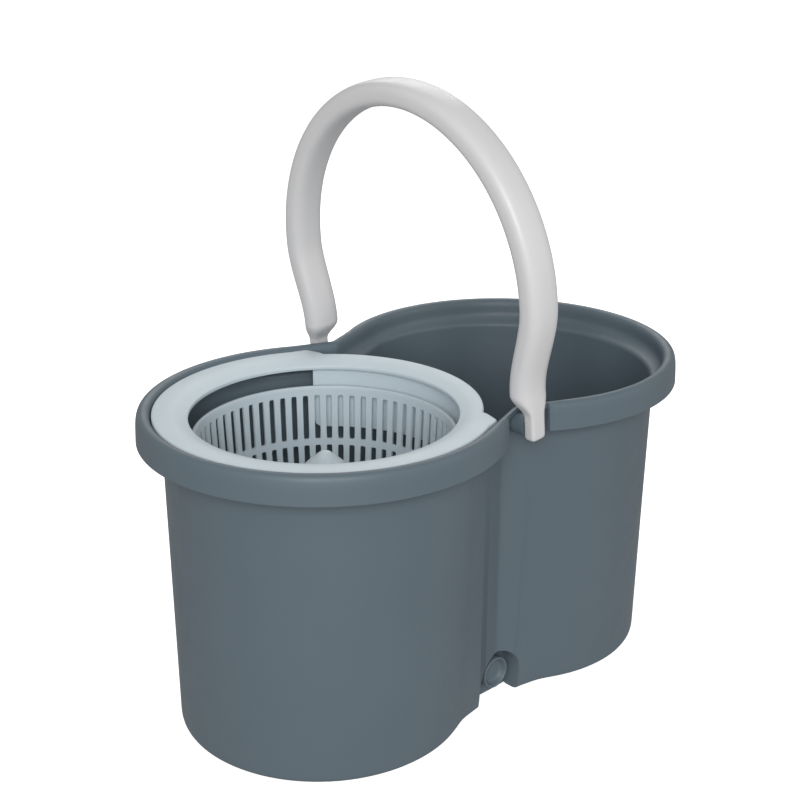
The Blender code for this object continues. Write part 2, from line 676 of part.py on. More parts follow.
def handle_rings():
    """Rings from the near ear's tip, up and over the bow, to the far ear's tip."""
    ear = rounded_section(EAR_WIDTH, EAR_OUTER_Y - EAR_INNER_Y, 5.0)
    tip = rounded_section(EAR_WIDTH - 0.003, EAR_OUTER_Y - EAR_INNER_Y - 0.002, 4.0)
    ear_y = -(EAR_INNER_Y + EAR_OUTER_Y) / 2.0
    near = [[(x, ear_y + y, EAR_TIP_Z) for x, y in tip],
            [(x, ear_y + y, EAR_TIP_Z + 0.0015) for x, y in ear],
            [(x, ear_y + y, EAR_TOP_Z) for x, y in ear]]
    grip = rounded_section(HANDLE_WIDTH, HANDLE_THICKNESS, 2.5)
    half = bow_path()
    whole = half + [(-y, z) for y, z in reversed(half[:-1])]
    middle = []
    for i, (y, z) in enumerate(whole):
        before, after = whole[max(i - 1, 0)], whole[min(i + 1, len(whole) - 1)]
        along = Vector((after[0] - before[0], after[1] - before[1])).normalized()
        if i in (0, len(whole) - 1):
            along = Vector((0.0, 1.0 if i == 0 else -1.0))
        across = Vector((along.y, -along.x))
        middle.append([(px, y + across.x * py, z + across.y * py) for px, py in grip])
    far = [[(x, -y, z) for x, y, z in ring] for ring in reversed(near)]
    return near + middle + far


def build_handle(material):
    """Bail handle: one lofted bow that narrows to an ear at each end, with a stud on each ear."""
    mesh = loft_mesh("handle_bow", handle_rings(), (True, True))
    face_outwards(mesh)
    mesh.transform(Matrix.Translation((0.0, 0.0, -PIVOT_Z)))
    smooth(mesh)
    handle = add_object("handle_bow", mesh, PARTS, material)
    studs = [cylinder_mesh("stud", STUD_RADIUS, (0.0, side * STUD_END_Y, 0.0),
                           (0.0, side * (EAR_INNER_Y + 0.003), 0.0)) for side in (-1, 1)]
    stud_pair = add_cutter("handle_studs", joined_mesh("handle_studs", studs))
    combine(handle, stud_pair, 'UNION')
    for item in (handle, stud_pair):
        item.location = (0.0, 0.0, PIVOT_Z)
        item.rotation_euler = (0.0, math.radians(-HANDLE_LEAN), 0.0)
    return handle


# ---- drain plug -----------------------------------------------------------------------------
def face_forward(item):
    """Turn a piece that was made along Z so that its top faces -Y, in the drain recess."""
    item.location = (0.0, PLUG_SEAT_Y, DRAIN_Z)
    item.rotation_euler = (math.radians(90.0), 0.0, 0.0)


def build_drain_plug(material):
    """Push-in plug with a dished face inside a thin rim, and a stem for the drain hole."""
    face = PLUG_SEAT_Y - PLUG_FACE_Y
    stem_end = PLUG_SEAT_Y - PLUG_STEM_END_Y
    profile = [(0.0, face - PLUG_DISH), (PLUG_RADIUS - 0.0035, face - PLUG_DISH + 0.0008),
               (PLUG_RADIUS - 0.0016, face - 0.0004), (PLUG_RADIUS - 0.0010, face),
               (PLUG_RADIUS - 0.0003, face - 0.0003), (PLUG_RADIUS, face - 0.0012),
               (PLUG_RADIUS, 0.0), (PLUG_STEM_RADIUS, 0.0),
               (PLUG_STEM_RADIUS, stem_end + 0.0015), (PLUG_STEM_RADIUS - 0.0012, stem_end),
               (0.0, stem_end)]
    plug = turned("drain_plug", profile, 32, material)
    face_forward(plug)
    return plug


def build_drain_seal(material):
    """Rubber washer between the plug's shoulder and the recess wall."""
    profile = ring_profile(PLUG_STEM_RADIUS + GAP, SEAL_RADIUS, -GAP - 0.0010, -GAP)
    seal = turned("drain_seal", profile, 32, material)
    face_forward(seal)
    return seal


def main():
    """Build every piece."""
    grey = plain_material("grey_plastic", (0.127, 0.165, 0.191), 0.45)
    white = plain_material("white_plastic", (0.60, 0.70, 0.73), 0.40)
    handle_white = plain_material("handle_plastic", (0.68, 0.70, 0.69), 0.40)
    column_grey = plain_material("column_plastic", (0.11, 0.145, 0.17), 0.50)
    nylon = plain_material("bearing_plastic", (0.72, 0.70, 0.62), 0.35)
    steel = plain_material("steel", (0.62, 0.63, 0.64), 0.25, metallic=1.0)
    rubber = plain_material("seal_rubber", (0.03, 0.03, 0.03), 0.80)

    build_bucket_shell(grey)
    build_splash_collar(white)
    build_spindle_column(column_grey)
    build_column_screws(steel)
    build_spindle_pin(steel)
    build_thrust_washer(steel)
    build_spin_basket(white)
    build_hub_cone(white)
    build_bushes(nylon)
    build_pin_clip(steel)
    build_handle(handle_white)
    build_drain_plug(grey)
    build_drain_seal(rubber)


clear_scene()
PARTS = new_collection("spin_mop_bucket")
CUTTERS = new_collection("cutters")
main()
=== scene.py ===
"""Looks of the spin mop bucket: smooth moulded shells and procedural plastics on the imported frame.

Every new piece is a surface worked out with numpy: a plan or a section is carried through a list of
sizes on a grid, and Boolean steps open the slots, notches and bores where the CAD solids have them.
"""

import json
import logging
import math
from dataclasses import dataclass
from enum import Enum

import bmesh
import bpy
import numpy as np
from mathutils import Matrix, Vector

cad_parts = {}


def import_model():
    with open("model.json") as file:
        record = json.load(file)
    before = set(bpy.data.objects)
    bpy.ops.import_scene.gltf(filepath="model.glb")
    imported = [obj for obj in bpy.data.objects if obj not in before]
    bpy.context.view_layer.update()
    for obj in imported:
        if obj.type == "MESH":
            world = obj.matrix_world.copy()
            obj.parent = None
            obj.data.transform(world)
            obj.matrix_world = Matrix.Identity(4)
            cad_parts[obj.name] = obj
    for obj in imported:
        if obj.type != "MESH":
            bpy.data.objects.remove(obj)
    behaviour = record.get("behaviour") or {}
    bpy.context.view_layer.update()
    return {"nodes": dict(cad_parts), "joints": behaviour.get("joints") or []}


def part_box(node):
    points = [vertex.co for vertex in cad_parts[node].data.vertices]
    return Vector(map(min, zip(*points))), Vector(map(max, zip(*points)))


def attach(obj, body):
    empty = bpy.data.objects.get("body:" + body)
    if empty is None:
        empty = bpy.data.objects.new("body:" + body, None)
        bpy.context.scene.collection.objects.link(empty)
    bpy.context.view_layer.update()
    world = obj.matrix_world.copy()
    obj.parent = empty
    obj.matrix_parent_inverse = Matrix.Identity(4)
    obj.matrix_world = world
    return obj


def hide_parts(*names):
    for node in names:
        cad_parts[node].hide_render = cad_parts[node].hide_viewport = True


Array = np.ndarray
LOG = logging.getLogger("spin_mop_bucket")
MM = 0.001
WELD = 2e-6                   # points closer than this become one
STUD_RADIUS = 4.6 * MM        # the handle's pivot studs
STUD_CLEARANCE = 0.3 * MM
STUD_END_Y = 0.1065


class Side(Enum):
    """The two waists of the bucket, as the sign of their Y."""

    NEAR = -1
    FAR = 1


class Step(Enum):
    """What a helper solid does to the piece it meets."""

    CUT = "DIFFERENCE"
    JOIN = "UNION"


# ---- arrays to meshes -----------------------------------------------------------------------
def grid_faces(rows: int, columns: int, wrap_rows: bool = False) -> Array:
    """Quads of a grid of rows by columns whose columns close on themselves.

    Args:
        rows: number of rings.
        columns: number of points in a ring.
        wrap_rows: whether the last ring joins the first.

    Returns:
        An array of four point numbers for each quad.
    """
    row = np.arange(rows if wrap_rows else rows - 1)[:, None]
    column = np.arange(columns)[None, :]
    here, up = row * columns, ((row + 1) % rows) * columns
    right = (column + 1) % columns
    return np.stack([here + column, here + right, up + right, up + column], axis=-1).reshape(-1, 4)


def mesh_from_grid(name: str, points: Array, wrap_rows: bool = False) -> bpy.types.Mesh:
    """Mesh of a grid of points, welded where rings shrink to a line, with its faces outwards.

    Args:
        name: the mesh's name.
        points: array of rows by columns by three.
        wrap_rows: whether the last ring joins the first.

    Returns:
        The finished mesh.
    """
    rows, columns, _ = points.shape
    faces = grid_faces(rows, columns, wrap_rows)
    mesh = bpy.data.meshes.new(name)
    mesh.vertices.add(rows * columns)
    mesh.vertices.foreach_set("co", points.reshape(-1).astype(np.float32))
    mesh.loops.add(faces.size)
    mesh.loops.foreach_set("vertex_index", faces.reshape(-1).astype(np.int32))
    mesh.polygons.add(len(faces))
    mesh.polygons.foreach_set("loop_start", np.arange(0, faces.size, 4, dtype=np.int32))
    mesh.update(calc_edges=True)
    seal(mesh)
    return mesh


def seal(mesh: bpy.types.Mesh) -> None:
    """Merge doubled points, cap open ends with one face each and turn every face outwards.

    Args:
        mesh: the mesh that is changed.
    """
    shape = bmesh.new()
    shape.from_mesh(mesh)
    bmesh.ops.remove_doubles(shape, verts=shape.verts, dist=WELD)
    bmesh.ops.dissolve_degenerate(shape, edges=shape.edges, dist=1e-7)
    rims = [edge for edge in shape.edges if len(edge.link_faces) == 1]
    if rims:
        bmesh.ops.holes_fill(shape, edges=rims, sides=0)
    bmesh.ops.recalc_face_normals(shape, faces=shape.faces)
    shape.to_mesh(mesh)
    shape.free()


def add_piece(name: str, mesh: bpy.types.Mesh) -> bpy.types.Object:
    """Put a mesh in the scene.

    Args:
        name: the object's name.
        mesh: what it shows.

    Returns:
        The new object, at the origin.
    """
    piece = bpy.data.objects.new(name, mesh)
    bpy.context.scene.collection.objects.link(piece)
    return piece


def apply_steps(piece: bpy.types.Object, steps: list[tuple[Step, list[bpy.types.Mesh]]]) -> None:
    """Cut and join helper solids, then keep the result as the piece's own mesh.

    Args:
        piece: the object that is changed.
        steps: what to do and the closed helper meshes to do it with, in order.
    """
    for step, meshes in steps:
        for mesh in meshes:
            helper = add_piece("helper", mesh)
            modifier = piece.modifiers.new("step", 'BOOLEAN')
            modifier.operation = step.value
            modifier.solver = 'MANIFOLD'
            modifier.object = helper
            bpy.context.view_layer.update()
            graph = bpy.context.evaluated_depsgraph_get()
            result = bpy.data.meshes.new_from_object(piece.evaluated_get(graph))
            piece.modifiers.clear()
            piece.data = result
            bpy.data.objects.remove(helper)


def smooth(piece: bpy.types.Object, angle: float = 32.0) -> None:
    """Shade round faces smooth.

    Args:
        piece: the object whose mesh is shaded.
        angle: edges that turn by more than this many degrees stay sharp.
    """
    piece.data.shade_smooth()
    piece.data.set_sharp_from_angle(angle=math.radians(angle))


# ---- shapes ---------------------------------------------------------------------------------
def round_corners(points: Array, trim: float | Array, steps: int = 5) -> Array:
    """Replace each inner corner of a line of points with a quadratic curve.

    The curve starts and ends a trim away from the corner, or half-way along a shorter side, and is
    (1-t)^2 start + 2t(1-t) corner + t^2 end.

    Args:
        points: array of corners by any further axes; the last axis holds coordinates.
        trim: distance from each corner, one number or one for each inner corner.
        steps: number of sides in each curve.

    Returns:
        The rounded line, with the same further axes.
    """
    before, corner, after = points[:-2], points[1:-1], points[2:]
    trims = np.broadcast_to(np.asarray(trim, float), (len(corner),))
    trims = trims.reshape((-1,) + (1,) * (points.ndim - 1))

    def part_way(other: Array) -> Array:
        """Points on the lines from the corners towards others, a trim away from the corner."""
        length = np.linalg.norm((other - corner)[..., :2], axis=-1, keepdims=True)
        return corner + (other - corner) * np.minimum(trims / np.maximum(length, 1e-9), 0.5)

    start, end = part_way(before), part_way(after)
    t = np.linspace(0.0, 1.0, steps + 1).reshape((1, -1) + (1,) * (points.ndim - 1))
    curve = (1 - t) ** 2 * start[:, None] + 2 * t * (1 - t) * corner[:, None] + t ** 2 * end[:, None]
    flat = curve.reshape((-1,) + points.shape[1:])
    return np.concatenate([points[:1], flat, points[-1:]])


def revolve(profile: Array, centre: tuple[float, float], steps: int) -> Array:
    """Turned surface: each point of a profile goes round an upright axis.

    Args:
        profile: array of (radius, height).
        centre: X and Y of the axis.
        steps: number of points in a turn.

    Returns:
        A grid with one row for each point of the profile.
    """
    angle = np.linspace(0.0, math.tau, steps, endpoint=False)
    radius, height = profile[:, 0:1], profile[:, 1:2]
    x = centre[0] + radius * np.cos(angle)
    y = centre[1] + radius * np.sin(angle)
    return np.stack([x, y, np.broadcast_to(height, x.shape)], axis=-1)


def superellipse(count: int, width: Array, thickness: Array, power: Array) -> tuple[Array, Array]:
    """Rounded sections |x/a|^p + |y/b|^p = 1, one for each entry of the sizes.

    Args:
        count: number of points in a section.
        width: full width of each section.
        thickness: full thickness of each section.
        power: exponent of each section; 2 is an ellipse, and more is squarer.

    Returns:
        The two coordinates, each an array of sections by points.
    """
    angle = (np.arange(count) + 0.5) * math.tau / count
    cosine, sine = np.cos(angle)[None, :], np.sin(angle)[None, :]
    share = 2.0 / np.asarray(power, float)[:, None]
    x = np.sign(cosine) * np.abs(cosine) ** share * np.asarray(width)[:, None] / 2.0
    y = np.sign(sine) * np.abs(sine) ** share * np.asarray(thickness)[:, None] / 2.0
    return x, y


def ease(value: Array, low: float, high: float) -> Array:
    """Smooth step, 3t^2 - 2t^3.

    Args:
        value: where to take it.
        low: the value at which it leaves 0.
        high: the value at which it reaches 1.

    Returns:
        A number from 0 to 1 for each value.
    """
    t = np.clip((value - low) / (high - low), 0.0, 1.0)
    return t * t * (3.0 - 2.0 * t)


def rod(radius: float, start: tuple, end: tuple, sides: int = 32) -> bpy.types.Mesh:
    """Closed cylinder between two points, as rings square to the line between them.

    Args:
        radius: radius of both rings.
        start: middle of one ring.
        end: middle of the other.
        sides: number of points in a ring.

    Returns:
        The closed mesh.
    """
    start, end = np.array(start, float), np.array(end, float)
    along = (end - start) / np.linalg.norm(end - start)
    helper = np.array([0.0, 0.0, 1.0]) if abs(along[2]) < 0.9 else np.array([1.0, 0.0, 0.0])
    u = np.cross(along, helper)
    u /= np.linalg.norm(u)
    v = np.cross(along, u)
    angle = np.linspace(0.0, math.tau, sides, endpoint=False)[:, None]
    circle = radius * (np.cos(angle) * u + np.sin(angle) * v)
    return mesh_from_grid("rod", np.stack([start + circle, end + circle]))


# ---- finishes -------------------------------------------------------------------------------
@dataclass(frozen=True)
class Plastic:
    """A moulded plastic: colour, gloss, and how much its surface varies."""

    name: str
    colour: tuple[float, float, float]
    roughness: float
    cloud: float = 0.05
    grain: float = 0.10
    grain_scale: float = 900.0
    glow: float = 0.0

    def material(self) -> bpy.types.Material:
        """Principled plastic whose tone clouds slowly and whose skin has a fine moulded grain.

        Returns:
            The material.
        """
        material = bpy.data.materials.new(self.name)
        material.use_nodes = True
        nodes, links = material.node_tree.nodes, material.node_tree.links
        shader = nodes["Principled BSDF"]
        place = nodes.new("ShaderNodeTexCoord")

        def noise(scale: float, detail: float, rough: float) -> bpy.types.Node:
            """Noise texture on the piece's own coordinates, with these three settings."""
            node = nodes.new("ShaderNodeTexNoise")
            node.inputs["Scale"].default_value = scale
            node.inputs["Detail"].default_value = detail
            node.inputs["Roughness"].default_value = rough
            links.new(place.outputs["Object"], node.inputs["Vector"])
            return node

        cloud = noise(9.0, 3.0, 0.5)
        tone = nodes.new("ShaderNodeValToRGB")
        darker = tuple(channel * (1.0 - self.cloud) for channel in self.colour)
        lighter = tuple(min(1.0, channel * (1.0 + self.cloud)) for channel in self.colour)
        tone.color_ramp.elements[0].position, tone.color_ramp.elements[1].position = 0.30, 0.70
        tone.color_ramp.elements[0].color = (*darker, 1.0)
        tone.color_ramp.elements[1].color = (*lighter, 1.0)
        links.new(cloud.outputs["Fac"], tone.inputs["Fac"])
        links.new(tone.outputs["Color"], shader.inputs["Base Color"])

        smear = noise(42.0, 4.0, 0.6)
        gloss = nodes.new("ShaderNodeMapRange")
        gloss.inputs["From Min"].default_value = 0.3
        gloss.inputs["From Max"].default_value = 0.7
        gloss.inputs["To Min"].default_value = self.roughness - 0.05
        gloss.inputs["To Max"].default_value = self.roughness + 0.06
        links.new(smear.outputs["Fac"], gloss.inputs["Value"])
        links.new(gloss.outputs["Result"], shader.inputs["Roughness"])

        grain = noise(self.grain_scale, 2.0, 0.6)
        bump = nodes.new("ShaderNodeBump")
        bump.inputs["Strength"].default_value = self.grain
        bump.inputs["Distance"].default_value = 0.15 * MM
        links.new(grain.outputs["Fac"], bump.inputs["Height"])
        links.new(bump.outputs["Normal"], shader.inputs["Normal"])

        shader.inputs["Subsurface Weight"].default_value = self.glow
        shader.inputs["Subsurface Radius"].default_value = (1.0, 0.95, 0.9)
        shader.inputs["Subsurface Scale"].default_value = 2.5 * MM
        shader.inputs["IOR"].default_value = 1.49
        return material


@dataclass(frozen=True)
class Metal:
    """A turned or plated metal with fine turning marks round an upright axis."""

    name: str
    colour: tuple[float, float, float]
    roughness: float

    def material(self) -> bpy.types.Material:
        """Principled metal whose roughness follows stretched noise.

        Returns:
            The material.
        """
        material = bpy.data.materials.new(self.name)
        material.use_nodes = True
        nodes, links = material.node_tree.nodes, material.node_tree.links
        shader = nodes["Principled BSDF"]
        place = nodes.new("ShaderNodeTexCoord")
        stretch = nodes.new("ShaderNodeMapping")
        stretch.inputs["Scale"].default_value = (60.0, 60.0, 2600.0)
        marks = nodes.new("ShaderNodeTexNoise")
        marks.inputs["Scale"].default_value = 1.0
        marks.inputs["Detail"].default_value = 3.0
        links.new(place.outputs["Object"], stretch.inputs["Vector"])
        links.new(stretch.outputs["Vector"], marks.inputs["Vector"])
        gloss = nodes.new("ShaderNodeMapRange")
        gloss.inputs["To Min"].default_value = self.roughness * 0.7
        gloss.inputs["To Max"].default_value = self.roughness * 1.4
        links.new(marks.outputs["Fac"], gloss.inputs["Value"])
        links.new(gloss.outputs["Result"], shader.inputs["Roughness"])
        bump = nodes.new("ShaderNodeBump")
        bump.inputs["Strength"].default_value = 0.15
        bump.inputs["Distance"].default_value = 0.05 * MM
        links.new(marks.outputs["Fac"], bump.inputs["Height"])
        links.new(bump.outputs["Normal"], shader.inputs["Normal"])
        shader.inputs["Base Color"].default_value = (*self.colour, 1.0)
        shader.inputs["Metallic"].default_value = 1.0
        return material


GREY = Plastic("grey_moulding", (0.102, 0.138, 0.163), 0.50, cloud=0.03, grain=0.12)
GREY_INNER = Plastic("grey_column", (0.098, 0.132, 0.158), 0.52, cloud=0.04, grain=0.15)
WHITE = Plastic("white_moulding", (0.56, 0.645, 0.69), 0.55, cloud=0.02, grain=0.06, glow=0.05)
# The basket is the collar's white plastic darkened in its colour: painted shade for the deeper, less lit
# inside of the bucket.
BASKET_WHITE_PAINTED_SHADE = Plastic("basket_moulding", (0.50, 0.575, 0.62), 0.50, cloud=0.02, grain=0.06, glow=0.05)
HANDLE_WHITE = Plastic("handle_moulding", (0.64, 0.635, 0.64), 0.38, cloud=0.02, grain=0.06, glow=0.08)
NYLON = Plastic("natural_nylon", (0.70, 0.67, 0.58), 0.32, cloud=0.03, grain=0.05, glow=0.10)
RUBBER = Plastic("black_rubber", (0.028, 0.028, 0.030), 0.70, cloud=0.10, grain=0.25, grain_scale=500.0)
STAINLESS = Metal("stainless", (0.62, 0.63, 0.64), 0.22)
ZINC = Metal("zinc_plate", (0.60, 0.61, 0.62), 0.34)


def dress(piece: bpy.types.Object, material: bpy.types.Material, body: str,
          stands_for: tuple[str, ...] = ()) -> None:
    """Give a piece its material and tell the frame what it belongs to.

    Args:
        piece: the finished object.
        material: its only material.
        body: the body that it rides on.
        stands_for: the CAD nodes that it replaces.
    """
    piece.data.materials.clear()
    piece.data.materials.append(material)
    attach(piece, body)
    if stands_for:
        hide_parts(*stands_for)
    LOG.info("%s: %d faces, rides on %s", piece.name, len(piece.data.polygons), body)


# ---- bucket ---------------------------------------------------------------------------------
@dataclass
class Bucket:
    """Two-lobe bucket with a rolled rim, waist notches, pivot bosses and a drain recess."""

    height: float
    lobe_x: float
    pivot_z: float
    wall: float = 2.5 * MM
    base: tuple[float, float, float, float] = (0.1098, 0.1030, 0.0863, 121.0)
    top: tuple[float, float, float, float] = (0.1205, 0.0935, 0.0872, 103.5)
    wall_height: float = 0.2330
    rim_arc: float = 123.0
    columns_arc: int = 64
    columns_waist: int = 20
    notch_half: float = 0.0220
    notch_y: float = 0.1042
    waist_slope: float = 0.39
    recess_half: float = 0.0220
    recess_top: float = 0.0415
    recess_back: float = -0.0770
    drain_z: float = 0.0230
    drain_radius: float = 0.0090
    pad_radius: float = 0.0380
    pad_top: float = 0.0140
    boss_radius: float = 8.0 * MM
    boss_root_y: float = 0.0993
    boss_face_y: float = 0.1155
    foot_z: float = 1.0 * MM

    def skin(self) -> Array:
        """Sections of the visible skin.

        The floor's middle is a line, the wall is ruled between two sections, and the rim turns
        outwards over a ledge, up, over the roll and down its lip.

        Returns:
            Rows of (lobe radius, height, lobe centre, waist, arc end in degrees).
        """
        lobe = self.lobe_x
        base, centre, waist, arc = self.base
        radius, top_centre, top_waist, top_arc = self.top
        lift = 3.0 * MM + self.wall
        corners = np.array([
            (0.0, lift, centre, 0.0, arc),
            (0.0400, lift, centre, 0.0300, arc),
            (base - 0.0160, lift, centre, waist - 0.0160, arc),
            (base - 0.0120, self.wall, centre, waist - 0.0120, arc),
            (base - 0.0003, self.wall, centre, waist - 0.0003, arc),
            (base + 0.0003, 0.0085, centre - 0.0003, waist, arc - 0.6),
            (radius, self.wall_height, top_centre, top_waist, top_arc),
            (0.1240, 0.2352, 0.0958, 0.0930, 106.0),
            (0.1268, 0.2390, lobe, 0.0979, 107.0),
            (0.1272, 0.2480, lobe, 0.0984, 108.0),
            (0.1288, 0.2514, lobe, 0.0998, 111.0),
            (0.1330, self.height + 0.0003, lobe, 0.1032, 117.0),
            (0.1368, 0.2510, lobe, 0.1066, 122.0),
            (0.1380, 0.2455, lobe, 0.1082, self.rim_arc),
            (0.1385, 0.2310, lobe, 0.1090, self.rim_arc),
        ])
        trims = np.array([9, 2.5, 2.5, 4.5, 4.5, 3, 3, 3, 3, 4, 4, 4, 4]) * MM
        return round_corners(corners, trims, steps=6)

    def waist_face(self, x: Array, z: Array) -> Array:
        """Distance from the middle plane to the wall's outer face, near the waist.

        The inner face goes straight from the waist to the end of the lobe's arc, at sizes mixed
        between the floor and the top of the wall; the outer one is a wall thickness further out.

        Args:
            x: distances along the bucket from the waist.
            z: the same number of heights.

        Returns:
            One distance for each point.
        """
        share = np.asarray(z)[..., None] / self.wall_height
        sizes = np.array(self.base) + (np.array(self.top) - np.array(self.base)) * share
        radius, centre, waist, arc = np.moveaxis(sizes, -1, 0)
        slope = (radius * np.sin(np.radians(arc)) - waist) / (centre + radius * np.cos(np.radians(arc)))
        return waist + slope * np.abs(x) + self.wall * np.sqrt(1.0 + slope ** 2)

    def outlines(self, sections: Array) -> Array:
        """Figure-8 rings of the sections: lobe arcs joined by straight stretches to the waist.

        A Gaussian window, taken round each ring, softens the creases: about 2 mm wide at the rim
        and 5 mm lower down the wall.

        Args:
            sections: rows as skin gives them.

        Returns:
            A grid with one ring for each section.
        """
        radius, height, centre, waist, arc = (sections[:, i:i + 1] for i in range(5))
        turn = np.radians(arc) * np.linspace(0.0, 1.0, self.columns_arc, endpoint=False)
        arc_x, arc_y = centre + radius * np.cos(turn), radius * np.sin(turn)
        end_x = centre + radius * np.cos(np.radians(arc))
        end_y = radius * np.sin(np.radians(arc))
        share = np.linspace(0.0, 1.0, self.columns_waist + 1)
        x = np.concatenate([arc_x, end_x * (1.0 - share)], axis=1)
        y = np.concatenate([arc_y, end_y + (waist - end_y) * share], axis=1)
        upper_x = np.concatenate([x, -x[:, -2::-1]], axis=1)
        upper_y = np.concatenate([y, y[:, -2::-1]], axis=1)
        ring = np.concatenate([upper_x + 1j * upper_y, upper_x[:, -2:0:-1] - 1j * upper_y[:, -2:0:-1]],
                              axis=1)
        count = ring.shape[1]
        wave = np.fft.fftfreq(count) * math.tau
        window = 2.2 - 1.4 * ease(height, 0.150, 0.225)
        ring = np.fft.ifft(np.fft.fft(ring, axis=1) * np.exp(-0.5 * (window * wave) ** 2), axis=1)
        heights = np.broadcast_to(height, ring.shape)
        return np.stack([ring.real, ring.imag, heights], axis=-1)

    def shell_points(self) -> Array:
        """Grid of the skin and its hidden side, which is the skin moved along its normal.

        Returns:
            A grid with one ring for each section, down one side and back along the other.
        """
        skin = self.skin()
        along = np.gradient(skin[:, :2], axis=0)
        along /= np.maximum(np.linalg.norm(along, axis=1, keepdims=True), 1e-9)
        away = np.stack([along[:, 1], -along[:, 0]], axis=1)
        hidden = skin.copy()
        hidden[:, :2] += away * self.wall
        hidden[:, 3] += away[:, 0] * self.wall * 1.06
        hidden[:3, 0] = np.maximum(hidden[:3, 0], 0.0)
        hidden[0, [0, 3]] = 0.0
        tip = (skin[-1:] + hidden[-1:]) / 2.0
        tip[:, 1] -= 0.9 * MM
        return self.outlines(np.concatenate([skin, tip, hidden[::-1]]))

    def notches(self) -> list[bpy.types.Mesh]:
        """Blocks that open the rolled rim at both waists, with an inner face that follows the V.

        Returns:
            One closed mesh for each waist.
        """
        corner = self.notch_y + self.waist_slope * self.notch_half
        half = self.notch_half
        outline = np.array([(0.0, self.notch_y), (half, corner), (half, 0.16), (-half, 0.16),
                            (-half, corner)])
        blocks = []
        for side in Side:
            plan = outline * (1.0, side.value)
            rings = [np.column_stack([plan, np.full(5, z)]) for z in (0.2250, self.height + 0.01)]
            blocks.append(mesh_from_grid("notch", np.stack(rings)))
        return blocks

    def bosses(self) -> list[bpy.types.Mesh]:
        """Round seats for the handle's studs, with root faces inside the V of the wall.

        Returns:
            One closed mesh for each waist.
        """
        solids = []
        for side in Side:
            mesh = rod(self.boss_radius, (0.0, side.value * self.boss_root_y, self.pivot_z),
                       (0.0, side.value * self.boss_face_y, self.pivot_z), sides=48)
            places = np.empty(len(mesh.vertices) * 3)
            mesh.vertices.foreach_get("co", places)
            places = places.reshape(-1, 3)
            root = np.abs(places[:, 1]) < (self.boss_root_y + self.boss_face_y) / 2.0
            places[root, 1] += side.value * self.waist_slope * np.abs(places[root, 0])
            mesh.vertices.foreach_set("co", places.reshape(-1))
            solids.append(mesh)
        return solids

    def arch(self, rings: list[tuple[bool, float, float]], low: float) -> bpy.types.Mesh:
        """Round-topped block along Y that starts outside the near waist.

        Args:
            rings: for each section whether it follows the wall, how far it stands outside the wall's
                face or else its Y, and how much wider it is than the recess.
            low: the height of its flat underside.

        Returns:
            The closed block.
        """
        turn = np.linspace(0.0, math.pi, 33)
        loops = []
        for follows, place, grow in rings:
            half = self.recess_half + grow
            centre = self.recess_top - self.recess_half
            x = np.concatenate([half * np.cos(turn), [-half, 0.0, half]])
            z = np.concatenate([centre + half * np.sin(turn), [low, low, low]])
            foot = np.where(z < 2.0 * self.foot_z, 1.2 * MM, 0.0)
            y = foot - self.waist_face(x, z) - place if follows else np.full_like(x, place)
            if follows and not loops:
                middle = foot - self.waist_face(0.0 * x, z) - place
                loops.append(np.column_stack([0.0 * x, middle, z]))
            loops.append(np.column_stack([x, y, z]))
        return mesh_from_grid("arch", np.stack(loops))

    def steps(self) -> list[tuple[Step, list[bpy.types.Mesh]]]:
        """Everything that is joined to or cut from the shell, in order.

        Returns:
            Pairs of what is done and the solids it is done with.
        """
        housing = self.arch([(True, -self.wall / 2, self.wall),
                             (False, self.recess_back + self.wall, self.wall)], self.foot_z)
        pad = rod(self.pad_radius, (-self.lobe_x, 0.0, 0.0045), (-self.lobe_x, 0.0, self.pad_top), 96)
        recess = self.arch([(False, -0.1150, 1.6 * MM), (True, 0.6 * MM, 1.4 * MM),
                            (True, -0.2 * MM, 0.5 * MM), (True, -1.4 * MM, 0.0),
                            (False, self.recess_back, 0.0)], -0.01)
        drain = rod(self.drain_radius, (0.0, self.recess_back - 0.01, self.drain_z),
                    (0.0, self.recess_back + 0.02, self.drain_z), 48)
        holes = [rod(STUD_RADIUS + STUD_CLEARANCE,
                     (0.0, side.value * (STUD_END_Y - STUD_CLEARANCE), self.pivot_z),
                     (0.0, side.value * (self.boss_face_y + 0.01), self.pivot_z)) for side in Side]
        return [(Step.CUT, self.notches()), (Step.JOIN, self.bosses() + [housing, pad]),
                (Step.CUT, [recess, drain] + holes)]

    def build(self, material: bpy.types.Material) -> bpy.types.Object:
        """Make the bucket and let it stand for its CAD node.

        Args:
            material: its plastic.

        Returns:
            The finished piece.
        """
        piece = add_piece("bucket_moulding", mesh_from_grid("bucket_moulding", self.shell_points()))
        apply_steps(piece, self.steps())
        smooth(piece)
        dress(piece, material, "bucket", ("bucket_shell",))
        return piece


